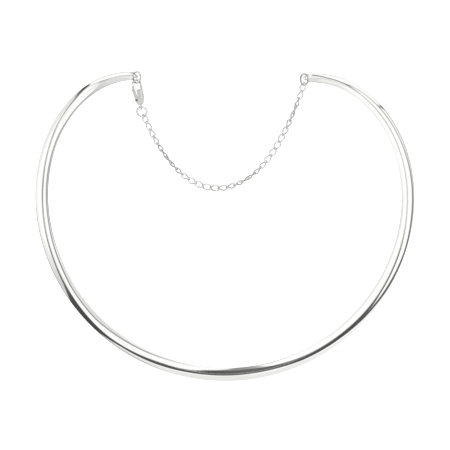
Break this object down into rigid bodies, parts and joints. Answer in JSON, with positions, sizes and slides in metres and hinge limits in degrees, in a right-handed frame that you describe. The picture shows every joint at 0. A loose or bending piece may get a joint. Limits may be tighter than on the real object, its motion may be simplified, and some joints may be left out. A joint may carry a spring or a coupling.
{
  "type": "rigid torc necklace with a chain and trigger clasp",
  "caption": "Rigid open round-wire torc necklace, its two ends closed by a twisted curb chain on jump rings and a sprung trigger clasp.",
  "frame": {"origin": "centre of the neck opening, in the plane of the collar", "axes": "+X towards the end with the plain ring, +Z from the collar's front towards its two ends, +Y through the neck opening"},
  "size_m": [0.1402, 0.0056, 0.1146],
  "materials": {
    "collar_silver": "polished",
    "chain_silver": "polished",
    "clasp_silver": "polished"
  },
  "bodies": {
    "necklace": {"collar": "collar_silver", "ring_left": "chain_silver", "clasp_body": "clasp_silver", "clasp_pin": "clasp_silver", "end_ring": "chain_silver", "link_01": "chain_silver", "link_02": "chain_silver", "link_03": "chain_silver", "link_04": "chain_silver", "link_05": "chain_silver", "link_06": "chain_silver", "link_07": "chain_silver", "link_08": "chain_silver", "link_09": "chain_silver", "link_10": "chain_silver", "link_11": "chain_silver", "link_12": "chain_silver", "link_13": "chain_silver", "link_14": "chain_silver", "link_15": "chain_silver", "link_16": "chain_silver", "link_17": "chain_silver", "link_18": "chain_silver", "link_19": "chain_silver", "link_20": "chain_silver", "link_21": "chain_silver", "link_22": "chain_silver", "link_23": "chain_silver", "link_24": "chain_silver", "link_25": "chain_silver", "link_26": "chain_silver", "link_27": "chain_silver", "link_28": "chain_silver", "link_29": "chain_silver", "link_30": "chain_silver", "link_31": "chain_silver", "link_32": "chain_silver", "ring_right": "chain_silver"},
    "lever": {"clasp_lever": "clasp_silver"}
  },
  "joints": [
    {"name": "lever_hinge", "type": "hinge", "parent": "necklace", "child": "lever", "pos_m": [-0.03265, -0.00129, 0.04647], "axis": [0, 1, 0], "range_deg": [0, 20], "stiffness_Nm_per_rad": 0.01, "springref_deg": -11.46}
  ]
}
